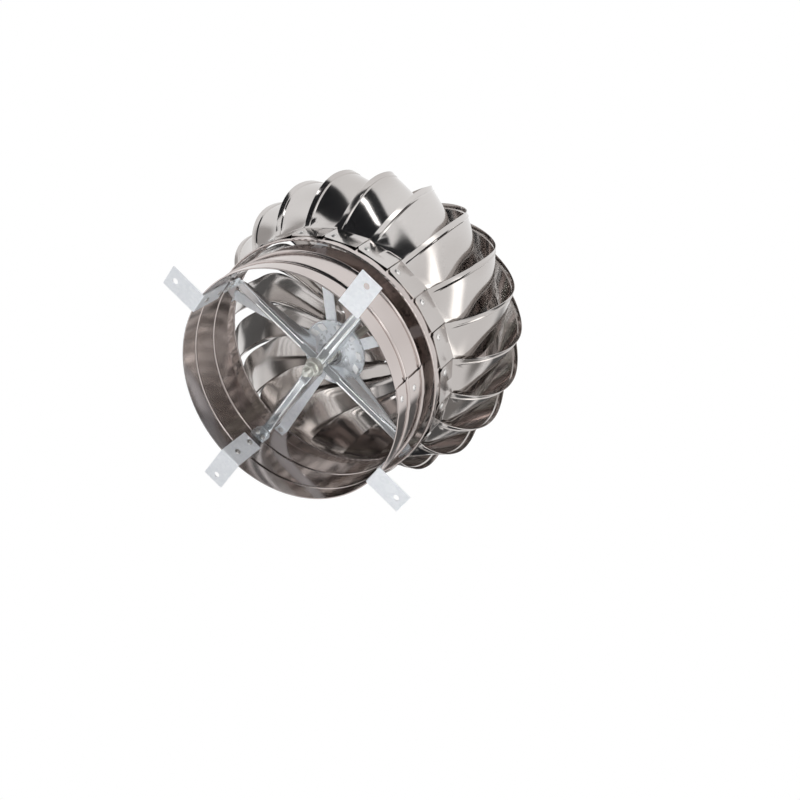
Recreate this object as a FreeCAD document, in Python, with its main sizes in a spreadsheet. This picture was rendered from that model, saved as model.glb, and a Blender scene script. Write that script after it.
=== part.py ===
"""Roof turbine ventilator: a fixed duct collar and a wind-driven rotor of 22 vanes.

Millimetres, +Z up. The origin is on the rotor's axis, in the plane that the
four mounting tabs rest on. The tabs lie on the X and Y axes.
"""
import FreeCAD, Part
import math
import os
import re
import Sketcher

Vector = FreeCAD.Vector
UP = Vector(0, 0, 1)

# Driving sizes: alias, value, what it is

SIZES = [
    ("collar_radius", 150, "outside radius of the duct collar"),
    ("collar_wall", 1, "sheet of the collar"),
    ("collar_height", 96, "collar from rim to top edge"),
    ("bead_low", 26, "first rolled bead above the rim"),
    ("bead_high", 65, "second rolled bead above the rim"),
    ("bead_depth", 2.2, "radius of the rolled beads"),
    ("seam_angle", -48.7, "where the lap seam is, in degrees"),
    ("seam_lap", 12, "how far the sheet laps over itself, in degrees"),
    ("seam_rivet_low", 9, "first seam rivet above the rim"),
    ("seam_rivet_high", 42, "second seam rivet above the rim"),
    ("tab_count", 4, "mounting tabs round the collar"),
    ("tab_width", 30, "width of a mounting tab"),
    ("tab_sheet", 2, "sheet of a mounting tab"),
    ("tab_reach", 48, "tab outside the collar"),
    ("tab_leg", 50, "upright leg inside the collar"),
    ("tab_hole", 8, "diameter of the fixing hole"),
    ("tab_hole_inset", 12, "fixing hole from the outer end"),
    ("tab_rivet_low", 15, "first tab rivet above the rim"),
    ("tab_rivet_high", 43, "second tab rivet above the rim"),
    ("rivet_head", 8, "diameter of a rivet head"),
    ("rivet_rise", 1.5, "height of a rivet head"),
    ("bar_width", 14, "width of a crossbar channel"),
    ("bar_sheet", 1.5, "sheet of the crossbars"),
    ("bar_height", 82, "underside of the upper crossbar above the rim"),
    ("bar_step", 14, "lower crossbar below the upper one at the hub"),
    ("bar_flange", 20, "deepest part of a crossbar flange"),
    ("bar_flange_end", 3, "flange depth at the foot"),
    ("bar_hub", 30, "radius where the flange is deepest"),
    ("bar_foot", 24, "height of a crossbar foot"),
    ("bar_foot_width", 22, "width of a crossbar foot"),
    ("spindle_radius", 5, "radius of the fixed spindle"),
    ("spindle_tail", 24, "spindle below the lower crossbar"),
    ("spindle_nose", 3, "spindle above the upper bearing"),
    ("spindle_hole_gap", 0.1, "radial clearance of the spindle's holes"),
    ("nut_flats", 16, "nut across flats"),
    ("nut_height", 8, "height of a nut"),
    ("cup_radius", 13, "radius of the cup washer"),
    ("cup_height", 7, "height of the cup washer"),
    ("cup_sheet", 1.5, "sheet of the cup washer"),
    ("sleeve_radius", 8, "radius of the spacer sleeve and thrust collar"),
    ("thrust_height", 8, "height of the thrust collar"),
    ("bearing_outer", 15, "outer radius of a ball bearing"),
    ("bearing_width", 9, "width of a ball bearing"),
    ("bearing_pitch", 10, "radius of the ball circle"),
    ("ball_radius", 2.38, "radius of a bearing ball"),
    ("ball_gap", 0.05, "play between ball and race"),
    ("ball_count", 8, "balls in a bearing"),
    ("race_land", 0.7, "how much of the ball's radius each race hides"),
    ("seat_gap", 0.1, "clearance of a seated bearing race"),
    ("ring_gap", 10, "radial gap between collar and rotor ring"),
    ("ring_wall", 1, "sheet of the rotor ring"),
    ("ring_bottom", 78, "rotor ring's lower edge above the rim"),
    ("ring_height", 50, "height of the rotor ring"),
    ("ring_curl", 1.5, "radius of the ring's rolled edges"),
    ("vane_count", 22, "vanes round the rotor"),
    ("vane_phase", -93, "where the first vane's corner is, in degrees"),
    ("vane_sheet", 0.8, "sheet of a vane"),
    ("vane_gap", 0.8, "gap between neighbouring feet and tabs"),
    ("vane_wedge", 4, "gap between neighbouring vanes at the cap's edge"),
    ("foot_height", 36, "height of a vane's foot"),
    ("foot_rivet_drop", 24, "foot rivet below the fold"),
    ("foot_rivet_inset", 9, "foot rivet from the foot's leading edge"),
    ("belly_radius", 210, "widest radius of the rotor"),
    ("belly_rise", 87, "widest level above the ring's top edge"),
    ("belly_width", 70, "width of a vane at its widest level"),
    ("lip_lead", 2.5, "how far the lip leads its foot there, in degrees"),
    ("lip_sweep", 33, "how far the lip sweeps back above it, in degrees"),
    ("recede", 36, "how steeply a vane falls back from its lip, in degrees"),
    ("rib_inset", 6, "pressed rib from the vane's lip"),
    ("rib_width", 3, "width of the pressed rib"),
    ("rib_rise", 1.2, "height of the pressed rib"),
    ("cap_height", 343, "underside of the cap's flange above the rim"),
    ("cap_radius", 117, "outside radius of the cap's flange"),
    ("cap_flange", 16, "width of the cap's flange"),
    ("cap_sheet", 1, "sheet of the cap"),
    ("cap_corner", 17, "a vane's top corner outside the cap's edge"),
    ("dome_rise", 24, "cap's middle above its flange"),
    ("dome_radius", 67, "radius of the cap's flat middle"),
    ("cap_hole", 14, "diameter of the hole in the cap"),
    ("housing_radius", 30, "radius of the bearing housing's flange"),
    ("housing_wall", 1.9, "wall of the bearing housing"),
    ("housing_flange", 2, "thickness of the housing's flange"),
    ("housing_top_gap", 5, "room above the upper bearing"),
    ("screw_count", 4, "screws of the upper housing"),
    ("disc_radius", 44, "radius of the spider disc"),
    ("disc_level", 120, "spider disc's underside above the rim"),
    ("disc_sheet", 1.5, "sheet of the spider disc"),
    ("disc_lip", 4, "depth of the disc's turned edge"),
    ("ear_swing", 20.5, "disc's ears either side of a strut, in degrees"),
    ("ear_width", 9, "width of an ear"),
    ("ear_root", 13, "an ear's bend from the disc's edge"),
    ("ear_inset", 3, "an ear's tip from the disc's edge"),
    ("ear_drop", 4, "an ear's tip below the disc"),
    ("strut_angle_a", 12.5, "where the first strut is, in degrees"),
    ("strut_angle_b", 86, "second strut"),
    ("strut_angle_c", 162, "third strut"),
    ("strut_angle_d", 227, "fourth strut"),
    ("strut_angle_e", 299.5, "fifth strut"),
    ("strut_width", 15, "width of a strut"),
    ("strut_sheet", 1.5, "sheet of a strut"),
    ("strut_overlap", 16, "strut on the disc"),
    ("strut_foot", 12, "height of a strut's foot"),
]

# Places worked out from the sizes: alias, formula

PLACES = [
    ("rim", "tab_sheet"),
    ("collar_bore", "collar_radius - collar_wall"),
    ("collar_top", "rim + collar_height"),
    ("tab_end", "collar_radius + tab_reach"),
    ("tab_face", "sqrt(collar_bore ^ 2 - (tab_width / 2) ^ 2) - seat_gap"),
    ("hole_circle", "tab_end - tab_hole_inset"),
    ("bar_end", "sqrt(collar_bore ^ 2 - (bar_foot_width / 2) ^ 2) - seat_gap"),
    ("bar_level", "rim + bar_height"),
    ("hub_level", "bar_level - bar_step"),
    ("hub_top", "hub_level + bar_sheet"),
    ("bar_top", "bar_level + bar_sheet"),
    ("spindle_bore", "spindle_radius + spindle_hole_gap"),
    ("cup_level", "hub_level - cup_height"),
    ("ring_inner", "collar_radius + ring_gap"),
    ("ring_outer", "ring_inner + ring_wall"),
    ("ring_low", "rim + ring_bottom"),
    ("fold_level", "ring_low + ring_height"),
    ("foot_face", "ring_outer + seat_gap"),
    ("belly_level", "fold_level + belly_rise"),
    ("cap_level", "rim + cap_height"),
    ("tab_level", "cap_level - vane_sheet"),
    ("cap_inner", "cap_radius - cap_flange"),
    ("cap_top", "cap_level + dome_rise"),
    ("lip_top_radius", "cap_radius + cap_corner"),
    ("disc_under", "rim + disc_level"),
    ("disc_top", "disc_under + disc_sheet"),
    ("lower_bearing", "disc_under - bearing_width"),
    ("seat_radius", "bearing_outer + seat_gap"),
    ("upper_bearing", "cap_top - housing_flange - housing_top_gap - bearing_width"),
    ("race_hide", "ball_radius * race_land"),
    ("lock_nut_top", "bar_top + nut_height"),
    ("strut_level", "disc_top"),
]

doc = FreeCAD.newDocument("roof_turbine_ventilator")


def make_sheet(name, rows, mark):
    """A spreadsheet with one aliased cell for each row."""
    sheet = doc.addObject("Spreadsheet::Sheet", name)
    for number, row in enumerate(rows, start=1):
        sheet.set(f"A{number}", row[0])
        sheet.set(f"B{number}", mark + str(row[1]))
        sheet.setAlias(f"B{number}", row[0])
    return sheet


owner = {row[0]: "Sizes." for row in SIZES}


def formula(text):
    """The text with each alias led by its sheet's name."""
    return re.sub(r"[a-z][a-z_]+", lambda word: owner.get(word[0], "") + word[0], text)


sizes = make_sheet("Sizes", SIZES, "")
owner.update({row[0]: "Places." for row in PLACES})
places = make_sheet("Places", [(name, formula(text)) for name, text in PLACES], "=")
doc.recompute()


def size(name):
    """A size or a place by its alias, in millimetres or degrees."""
    sheet = sizes if owner[name] == "Sizes." else places
    return float(getattr(sheet, name))


# Builders for sketched bodies

def bind(feature, name, text):
    """Tie a property to a formula in sizes and places."""
    feature.setExpression(name, formula(text))


def new_body(label):
    body = doc.addObject("PartDesign::Body", label)
    body.Label = label
    return body


def plane_of(body, role):
    return next(plane for plane in body.Origin.OriginFeatures if plane.Role == role)


def tie_point(sketch, edge, x_text, y_text):
    """Hold the start of an edge at formulas in the sketch's X and Y."""
    for kind, text, axis in (("DistanceX", x_text, -2), ("DistanceY", y_text, -1)):
        if text == "0":
            sketch.addConstraint(Sketcher.Constraint("PointOnObject", edge, 1, axis))
            continue
        here = sketch.getPoint(edge, 1)
        guess = here.x if kind == "DistanceX" else here.y
        number = sketch.addConstraint(Sketcher.Constraint(kind, -1, 1, edge, 1, guess))
        bind(sketch, f"Constraints[{number}]", text)


def outline(body, role, points):
    """A closed sketch of straight edges whose corners are formulas."""
    sketch = body.newObject("Sketcher::SketchObject", body.Name + "_outline")
    sketch.AttachmentSupport = (plane_of(body, role), [""])
    sketch.MapMode = "FlatFace"
    count = len(points)
    reach = size("collar_radius")
    turn = 2 * math.pi / count
    corners = [Vector(reach + reach / 2 * math.cos(turn * step), reach + reach / 2 * math.sin(turn * step), 0)
               for step in range(count)]
    for step in range(count):
        sketch.addGeometry(Part.LineSegment(corners[step], corners[(step + 1) % count]))
    for step in range(count):
        sketch.addConstraint(Sketcher.Constraint("Coincident", step, 2, (step + 1) % count, 1))
    for step, (x_text, y_text) in enumerate(points):
        tie_point(sketch, step, x_text, y_text)
    return sketch


def revolve(body, points, angle="360"):
    """Turn a profile of radius and height formulas about the axis."""
    sketch = outline(body, "XZ_Plane", points)
    feature = body.newObject("PartDesign::Revolution", body.Name + "_turned")
    feature.Profile = sketch
    feature.ReferenceAxis = (sketch, ["V_Axis"])
    bind(feature, "Angle", angle)
    sketch.Visibility = False
    return feature


def groove(body, points):
    """Cut a turned profile out of a body."""
    sketch = outline(body, "XZ_Plane", points)
    feature = body.newObject("PartDesign::Groove", body.Name + "_groove")
    feature.Profile = sketch
    feature.ReferenceAxis = (sketch, ["V_Axis"])
    feature.Angle = 360
    return feature


def slab(body, role, points, thickness, kind="PartDesign::Pad"):
    """Pad or pocket an outline equally to both sides of its plane."""
    sketch = outline(body, role, points)
    feature = body.newObject(kind, body.Name + "_slab")
    feature.Profile = sketch
    feature.SideType = "Symmetric"
    bind(feature, "Length", thickness)
    return feature


def round_hole(body, x_text, diameter):
    """A hole along Z through a body, with its centre on the X axis."""
    sketch = body.newObject("Sketcher::SketchObject", body.Name + "_hole")
    sketch.AttachmentSupport = (plane_of(body, "XY_Plane"), [""])
    sketch.MapMode = "FlatFace"
    guess = size("spindle_radius")
    sketch.addGeometry(Part.Circle(Vector(2 * guess, 0, 0), UP, guess))
    sketch.addConstraint(Sketcher.Constraint("PointOnObject", 0, 3, -1))
    number = sketch.addConstraint(Sketcher.Constraint("Diameter", 0, 2 * guess))
    bind(sketch, f"Constraints[{number}]", diameter)
    if x_text == "0":
        sketch.addConstraint(Sketcher.Constraint("PointOnObject", 0, 3, -2))
    else:
        number = sketch.addConstraint(Sketcher.Constraint("DistanceX", -1, 1, 0, 3, 2 * guess))
        bind(sketch, f"Constraints[{number}]", x_text)
    feature = body.newObject("PartDesign::Pocket", body.Name + "_bore")
    feature.Profile = sketch
    feature.SideType = "Symmetric"
    bind(feature, "Length", "4 * cap_height")
    return feature


def turn_about_axis(item, degrees):
    """Place an object turned about the rotor's axis."""
    item.Placement = FreeCAD.Placement(Vector(), FreeCAD.Rotation(UP, degrees))


# Builders for shapes that a sketched body does not suit

def piece(label, shape):
    item = doc.addObject("Part::Feature", label)
    item.Label = label
    item.Shape = shape
    return item


def polar(radius, degrees, height=0.0):
    """A point from its radius, azimuth and height."""
    angle = math.radians(degrees)
    return Vector(radius * math.cos(angle), radius * math.sin(angle), height)


def facing_out(radius, degrees, height, inward=False):
    """A placement at a wall whose own +Z points away from the axis, or to it."""
    direction = polar(1, degrees)
    if inward:
        direction = direction * -1
    return FreeCAD.Placement(polar(radius, degrees, height), FreeCAD.Rotation(UP, direction))


def turned(points):
    """A solid of revolution about Z from radius and height pairs."""
    corners = [Vector(radius, 0, height) for radius, height in points]
    face = Part.Face(Part.makePolygon(corners + corners[:1]))
    return face.revolve(Vector(), UP, 360)


def rivet():
    """A button head with its flat underside at the origin."""
    head = size("rivet_head") / 2
    crown = head * 0.6
    rise = size("rivet_rise")
    return turned([(0, 0), (head, 0), (crown, rise), (0, rise)])


def rivet_group(label, placements):
    """Identical rivets as one group of separate solids."""
    heads = []
    for placement in placements:
        head = rivet()
        head.Placement = placement
        heads.append(head)
    return piece(label, Part.makeCompound(heads))


def hexagon(flats, low, high, bore):
    """A nut: a hexagonal prism with a round bore."""
    corner = flats / 2 / math.cos(math.pi / 6)
    corners = [polar(corner, 60 * side, low) for side in range(7)]
    prism = Part.Face(Part.makePolygon(corners)).extrude(Vector(0, 0, high - low))
    return prism.cut(Part.makeCylinder(bore, high - low, Vector(0, 0, low)))


# Collar, seam and mounting tabs

def collar_tube():
    """Rolled tube with two beads and a lap seam."""
    bore, outer = size("collar_bore"), size("collar_radius")
    lap = outer + size("collar_wall")
    rim, top, depth = size("rim"), size("collar_top"), size("bead_depth")
    height = top - rim
    start = Vector(0, 0, rim)
    body = Part.makeCylinder(outer, height, start)
    inside = Part.makeCylinder(bore, height, start)
    seam = Part.makeCylinder(lap, height, start, UP, size("seam_lap"))
    for level in (size("bead_low"), size("bead_high")):
        centre = Vector(0, 0, rim + level)
        body = body.fuse(Part.makeTorus(outer, depth, centre))
        inside = inside.fuse(Part.makeTorus(bore, depth, centre))
        seam = seam.fuse(Part.makeTorus(lap, depth, centre, UP, -180, 180, size("seam_lap")))
    seam.rotate(Vector(), UP, size("seam_angle"))
    return piece("collar_tube", body.fuse(seam).cut(inside).removeSplitter())


def collar_seam_rivets():
    lap = size("collar_radius") + size("collar_wall")
    middle = size("seam_angle") + size("seam_lap") / 2
    levels = [size("rim") + size(name) for name in ("seam_rivet_low", "seam_rivet_high")]
    return rivet_group("collar_seam_rivets", [facing_out(lap, middle, level) for level in levels])


def mounting_tab(number):
    """L-bracket: a drilled foot under the rim and a leg inside the wall."""
    body = new_body(f"mounting_tab_{number}")
    inner = "tab_face - tab_sheet"
    slab(body, "XZ_Plane", [
        (inner, "tab_sheet / 2"), (inner + " + tab_sheet / 2", "0"), ("tab_end", "0"),
        ("tab_end", "tab_sheet"), ("tab_face", "tab_sheet"),
        ("tab_face", "rim + tab_leg"), (inner, "rim + tab_leg")], "tab_width")
    round_hole(body, "hole_circle", "tab_hole")
    turn_about_axis(body, (number - 1) * 360 / size("tab_count"))
    return body


def mounting_tab_rivets():
    count = int(size("tab_count"))
    face = size("tab_face") - size("tab_sheet")
    levels = [size("rim") + size(name) for name in ("tab_rivet_low", "tab_rivet_high")]
    return rivet_group("mounting_tab_rivets", [
        facing_out(face, number * 360 / count, level, inward=True)
        for number in range(count) for level in levels])


# Crossbars, spindle and what holds it

def crossbar(label, hub, degrees):
    """Pressed channel bar: flanges up outside a flat hub, and a foot at each end."""
    body = new_body(label)
    foot_face = "bar_end - bar_sheet"
    foot_low = "bar_level + bar_sheet - bar_foot"
    web = hub + " + bar_sheet"
    side = [(foot_face, "bar_level + bar_sheet + bar_flange_end"),
            ("bar_hub", "bar_level + bar_flange"), ("bar_hub - 4", "bar_level + bar_flange"),
            ("cup_radius", web), ("-cup_radius", web),
            ("-(bar_hub - 4)", "bar_level + bar_flange"), ("-bar_hub", "bar_level + bar_flange"),
            ("-(" + foot_face + ")", "bar_level + bar_sheet + bar_flange_end"),
            ("-(" + foot_face + ")", "bar_level"), ("-bar_hub", hub),
            ("bar_hub", hub), (foot_face, "bar_level")]
    slab(body, "XZ_Plane", side, "bar_width")
    trough = [(foot_face, "bar_level + bar_sheet"), (foot_face, "bar_level + 2 * bar_flange"),
              ("-(" + foot_face + ")", "bar_level + 2 * bar_flange"),
              ("-(" + foot_face + ")", "bar_level + bar_sheet"),
              ("-bar_hub", web), ("bar_hub", web)]
    slab(body, "XZ_Plane", trough, "bar_width - 2 * bar_sheet", "PartDesign::Pocket")
    for sign in ("", "-"):
        slab(body, "XZ_Plane", [
            (f"{sign}({foot_face})", foot_low), (f"{sign}bar_end", foot_low),
            (f"{sign}bar_end", "bar_level + bar_sheet"),
            (f"{sign}({foot_face})", "bar_level + bar_sheet")], "bar_foot_width")
    round_hole(body, "0", "2 * spindle_bore")
    turn_about_axis(body, degrees)
    return body


def crossbar_rivets():
    """Two rivets side by side in each foot."""
    face = size("bar_end") - size("bar_sheet")
    level = size("bar_level") - size("bar_foot") / 2 - size("bar_sheet")
    apart = math.degrees((size("bar_foot_width") / 2 - size("rivet_head") * 0.75) / face)
    reach = face / math.cos(math.radians(apart))
    placements = []
    for quarter in range(4):
        for side in (-apart, apart):
            flat = facing_out(face, 90 * quarter, level, inward=True)
            flat.Base = polar(reach, 90 * quarter + side, level)
            placements.append(flat)
    return rivet_group("crossbar_rivets", placements)


def spindle():
    """Fixed rod with chamfered ends that carries both bearings."""
    body = new_body("spindle")
    bottom, top = "hub_level - spindle_tail", "upper_bearing + bearing_width + spindle_nose"
    revolve(body, [("0", bottom), ("spindle_radius - 1", bottom),
                   ("spindle_radius", bottom + " + 1"), ("spindle_radius", top + " - 1"),
                   ("spindle_radius - 1", top), ("0", top)])
    return body


def cup_washer():
    """Dished washer between the end nut and the lower crossbar."""
    body = new_body("cup_washer")
    revolve(body, [("spindle_bore", "cup_level"), ("cup_radius - 3", "cup_level"),
                   ("cup_radius", "hub_level"), ("cup_radius - cup_sheet", "hub_level"),
                   ("cup_radius - 3 - cup_sheet", "cup_level + cup_sheet"),
                   ("spindle_bore", "cup_level + cup_sheet")])
    return body


def nut(label, low):
    level = size(low)
    return piece(label, hexagon(size("nut_flats"), level, level + size("nut_height"),
                                size("spindle_bore")))


def end_nut():
    level = size("cup_level")
    return piece("spindle_end_nut", hexagon(
        size("nut_flats"), level - size("nut_height"), level, size("spindle_bore")))


def sleeve(label, low, high):
    """Plain sleeve on the spindle."""
    body = new_body(label)
    revolve(body, [("spindle_bore", low), ("sleeve_radius", low),
                   ("sleeve_radius", high), ("spindle_bore", high)])
    return body


# Ball bearings

def inner_race(label, low):
    return race(label, low, "spindle_bore", "bearing_pitch - ball_radius + race_hide")


def outer_race(label, low):
    return race(label, low, "bearing_pitch + ball_radius - race_hide", "bearing_outer")


def race(label, low, inner, outer):
    """A ring with the ball track cut into it."""
    body = doc.addObject("Part::Cut", label)
    body.Label = label
    blank = doc.addObject("Part::Cylinder", label + "_blank")
    bore = doc.addObject("Part::Cylinder", label + "_bore")
    track = doc.addObject("Part::Torus", label + "_track")
    tools = doc.addObject("Part::Fuse", label + "_tools")
    bind(blank, "Radius", outer)
    bind(bore, "Radius", inner)
    for cylinder in (blank, bore):
        bind(cylinder, "Height", "bearing_width")
        bind(cylinder, "Placement.Base.z", low)
    bind(track, "Radius1", "bearing_pitch")
    bind(track, "Radius2", "ball_radius + ball_gap")
    bind(track, "Placement.Base.z", low + " + bearing_width / 2")
    tools.Base, tools.Tool = bore, track
    body.Base, body.Tool = blank, tools
    return body


def balls(label, low):
    """The balls of one bearing as a group of separate solids."""
    count = int(size("ball_count"))
    level = size(low) + size("bearing_width") / 2
    return piece(label, Part.makeCompound([
        Part.makeSphere(size("ball_radius"), polar(size("bearing_pitch"), step * 360 / count, level))
        for step in range(count)]))


# Rotor ring, spider and struts

STRUTS = ["strut_angle_a", "strut_angle_b", "strut_angle_c", "strut_angle_d", "strut_angle_e"]


def rotor_ring():
    """Band round the collar's top with a rolled edge above and below."""
    inner, outer = size("ring_inner"), size("ring_outer")
    low, high, curl = size("ring_low"), size("fold_level"), size("ring_curl")
    middle = (inner + outer) / 2
    bottom = low + curl
    height = high - bottom - curl
    band = Part.makeCylinder(outer, height, Vector(0, 0, bottom))
    band = band.cut(Part.makeCylinder(inner, height, Vector(0, 0, bottom)))
    band = band.fuse(Part.makeTorus(middle, curl, Vector(0, 0, bottom)))
    band = band.fuse(Part.makeTorus(outer - curl, curl, Vector(0, 0, high - curl)))
    return piece("rotor_ring", band.removeSplitter())


def spider_disc():
    """Pressed disc with a turned edge, the lower bearing's cup and two ears by each strut."""
    body = new_body("spider_disc")
    revolve(body, [
        ("bearing_outer - 3", "disc_under"), ("seat_radius", "disc_under"),
        ("seat_radius", "lower_bearing"), ("seat_radius + disc_sheet", "lower_bearing"),
        ("seat_radius + disc_sheet", "disc_under"), ("disc_radius - disc_sheet", "disc_under"),
        ("disc_radius - disc_sheet", "disc_top - disc_lip"), ("disc_radius", "disc_top - disc_lip"),
        ("disc_radius", "disc_top"), ("bearing_outer - 3", "disc_top")])
    for name in STRUTS:
        for side in (-1, 1):
            disc_ear(body, size(name) + side * size("ear_swing"))
    return body


def disc_ear(body, degrees):
    """An ear bent down out of the disc, at an angle about the axis."""
    feature = slab(body, "XZ_Plane", [
        ("disc_radius - ear_root", "disc_under + disc_sheet / 2"),
        ("disc_radius - ear_root + 2 * disc_sheet", "disc_under + disc_sheet / 2"),
        ("disc_radius - ear_inset", "disc_under - ear_drop"),
        ("disc_radius - ear_inset", "disc_under - ear_drop - disc_sheet")], "ear_width")
    sketch = feature.Profile[0]
    sketch.AttachmentOffset = FreeCAD.Placement(Vector(), FreeCAD.Rotation(Vector(0, 1, 0), degrees))
    return feature


def spider_strut(number):
    """Flat strut from the disc to a foot inside the rotor ring."""
    body = new_body(f"spider_strut_{number}")
    end = "sqrt(ring_inner ^ 2 - (strut_width / 2) ^ 2) - seat_gap"
    start = "disc_radius - strut_overlap"
    slab(body, "XZ_Plane", [
        (start, "strut_level"), (end + " - strut_sheet", "strut_level"),
        (end + " - strut_sheet", "strut_level - strut_foot"),
        (end, "strut_level - strut_foot"), (end, "strut_level + strut_sheet"),
        (start, "strut_level + strut_sheet")], "strut_width")
    turn_about_axis(body, size(STRUTS[number - 1]))
    return body


# Vanes

def belly_arcs():
    """Radii of the lip's lower and upper arcs, and the angles where they start and end."""
    fold_radius = size("foot_face") / math.cos(math.radians(180 / size("vane_count")))
    low_reach = size("belly_radius") - fold_radius
    low_drop = size("belly_rise")
    high_reach = size("belly_radius") - size("lip_top_radius")
    high_rise = size("tab_level") - size("belly_level")
    low_arc = (low_reach ** 2 + low_drop ** 2) / (2 * low_reach)
    high_arc = (high_reach ** 2 + high_rise ** 2) / (2 * high_reach)
    return (low_arc, -math.asin(low_drop / low_arc)), (high_arc, math.asin(high_rise / high_arc))


def lip_frame(part):
    """Lip point at a part of the way from fold (-1) over the belly (0) to the cap (1).

    With it come the unit vectors along the rotor's rim, out of its surface and up it.
    """
    low, high = belly_arcs()
    arc, end = low if part < 0 else high
    angle = abs(part) * end
    radius = size("belly_radius") - arc * (1 - math.cos(angle))
    height = size("belly_level") + arc * math.sin(angle)
    lead = size("lip_lead")
    azimuth = lead * (1 - part ** 2) if part < 0 else lead - size("lip_sweep") * part ** 3
    around = polar(1, azimuth + 90)
    outward = polar(math.cos(angle), azimuth, math.sin(angle))
    upward = polar(-math.sin(angle), azimuth, math.cos(angle))
    return polar(radius, azimuth, height), around, outward, upward


def tail_in_frame(part, tail):
    """A vane's tail corner as width, fall-back angle and rise in the lip's frame."""
    lip, around, outward, upward = lip_frame(part)
    step = tail - lip
    along, fall = step.dot(around), -step.dot(outward)
    return math.hypot(along, fall), math.atan2(fall, along), step.dot(upward)


def vane_line(part):
    """The straight line across a vane, from its lip to its tail edge."""
    pitch = 360 / size("vane_count")
    lip, around, outward, upward = lip_frame(part)
    blend = part ** 2
    widen = blend
    if part < 0:
        fold_radius = size("foot_face") / math.cos(math.radians(pitch / 2))
        cover = pitch - math.degrees(size("vane_gap") / fold_radius)
        tail = polar(fold_radius, cover, size("fold_level"))
        end, widen = -1, abs(part) ** 3
    else:
        start = size("lip_lead") - size("lip_sweep")
        cover = pitch - math.degrees(size("vane_wedge") / size("cap_radius"))
        tail = polar(size("cap_radius") + 1, start + cover, size("tab_level"))
        end = 1
    width, fall, rise = tail_in_frame(end, tail)
    width = size("belly_width") + (width - size("belly_width")) * widen
    fall = math.radians(size("recede")) * (1 - blend) + fall * blend
    rise = rise * blend
    step = around * (width * math.cos(fall)) - outward * (width * math.sin(fall))
    return lip, lip + step + upward * rise


def vane_section(part, upright=None):
    """Cross-section of the sheet with its pressed rib, as a closed wire."""
    lip, tail = vane_line(part)
    across = (tail - lip).normalize()
    if upright is None:
        step = 0.02
        below, above = vane_line(part - step), vane_line(part + step)
        along = (above[0] + above[1]) - (below[0] + below[1])
        upright = across.cross(along).normalize()
    width = (tail - lip).Length
    inset, rib = size("rib_inset"), size("rib_width")
    sheet, rise = size("vane_sheet"), size("rib_rise")
    if abs(part) == 1:
        rise = rise * 0.05
    outside = [(0, sheet), (inset, sheet), (inset + rib / 2, sheet + rise),
               (inset + rib, sheet), (width, sheet), (width, 0), (0, 0)]
    corners = [lip + across * run + upright * lift for run, lift in outside]
    return Part.makePolygon(corners + corners[:1])


def vane_foot():
    """Flat plate on the outside of the rotor ring."""
    pitch = math.radians(360 / size("vane_count"))
    face, sheet = size("foot_face"), size("vane_sheet")
    half = face * math.tan(pitch / 2)
    width = 2 * half - size("vane_gap")
    high = size("fold_level")
    low = high - size("foot_height")
    plate = Part.makePolygon([
        Vector(face, -half, high), Vector(face, -half + width, high),
        Vector(face, -half + width, low), Vector(face, -half + sheet * 4, low),
        Vector(face, -half, low + sheet * 6), Vector(face, -half, high)])
    foot = Part.Face(plate).extrude(Vector(sheet, 0, 0))
    foot.rotate(Vector(), UP, math.degrees(pitch) / 2)
    return foot


def vane_tab():
    """Flat plate between the cap's flange and its clamp ring."""
    lip, tail = vane_line(1)
    pitch = 360 / size("vane_count")
    start = math.degrees(math.atan2(lip.y, lip.x))
    cover = pitch - math.degrees(size("vane_gap") / size("cap_inner"))
    level, inner = size("tab_level"), size("cap_inner") + size("cap_sheet")
    plate = Part.makePolygon([lip, polar(inner, start, level), polar(inner, start + cover, level),
                              tail, lip])
    return Part.Face(plate).extrude(Vector(0, 0, size("vane_sheet")))


def vane_blank():
    """One vane: foot, twisted blade and top tab in one sheet, with its corner at azimuth 0."""
    steps = [-1, -0.8, -0.55, -0.28, 0, 0.2, 0.4, 0.6, 0.78, 0.9, 1]
    sections = []
    for part in steps:
        upright = None
        if part == -1:
            upright = polar(1, 180 / size("vane_count"))
        if part == 1:
            upright = UP
        sections.append(vane_section(part, upright))
    blade = Part.makeLoft(sections, True, False)
    return blade.fuse(vane_foot()).fuse(vane_tab())


def vane(number, blank):
    item = piece(f"vane_{number:02d}", blank)
    turn_about_axis(item, size("vane_phase") + (number - 1) * 360 / size("vane_count"))
    return item


def vane_foot_rivets():
    """One rivet near the leading edge of each foot."""
    count = int(size("vane_count"))
    face = size("foot_face") + size("vane_sheet")
    level = size("fold_level") - size("foot_rivet_drop")
    half = face * math.tan(math.pi / count)
    aside = size("foot_rivet_inset") - half
    placements = []
    for number in range(count):
        middle = size("vane_phase") + (number + 0.5) * 360 / count
        flat = facing_out(face, middle, level)
        flat.Base = polar(face, middle, level) + polar(aside, middle + 90)
        placements.append(flat)
    return rivet_group("vane_foot_rivets", placements)


# Cap and upper bearing

def cap_dome():
    """Pressed top: riveted flange, sloping shoulder and flat middle with a hole."""
    body = new_body("cap_dome")
    revolve(body, [
        ("cap_hole / 2", "cap_top"), ("dome_radius", "cap_top"),
        ("cap_inner - cap_sheet", "cap_level"), ("cap_radius", "cap_level"),
        ("cap_radius", "cap_level + cap_sheet"), ("cap_inner", "cap_level + cap_sheet"),
        ("dome_radius", "cap_top + cap_sheet"), ("cap_hole / 2", "cap_top + cap_sheet")])
    return body


def cap_clamp_ring():
    """Flat ring under the vanes' top tabs."""
    body = new_body("cap_clamp_ring")
    revolve(body, [
        ("cap_inner", "tab_level - cap_sheet"), ("cap_radius", "tab_level - cap_sheet"),
        ("cap_radius", "tab_level"), ("cap_inner", "tab_level")])
    return body


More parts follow.
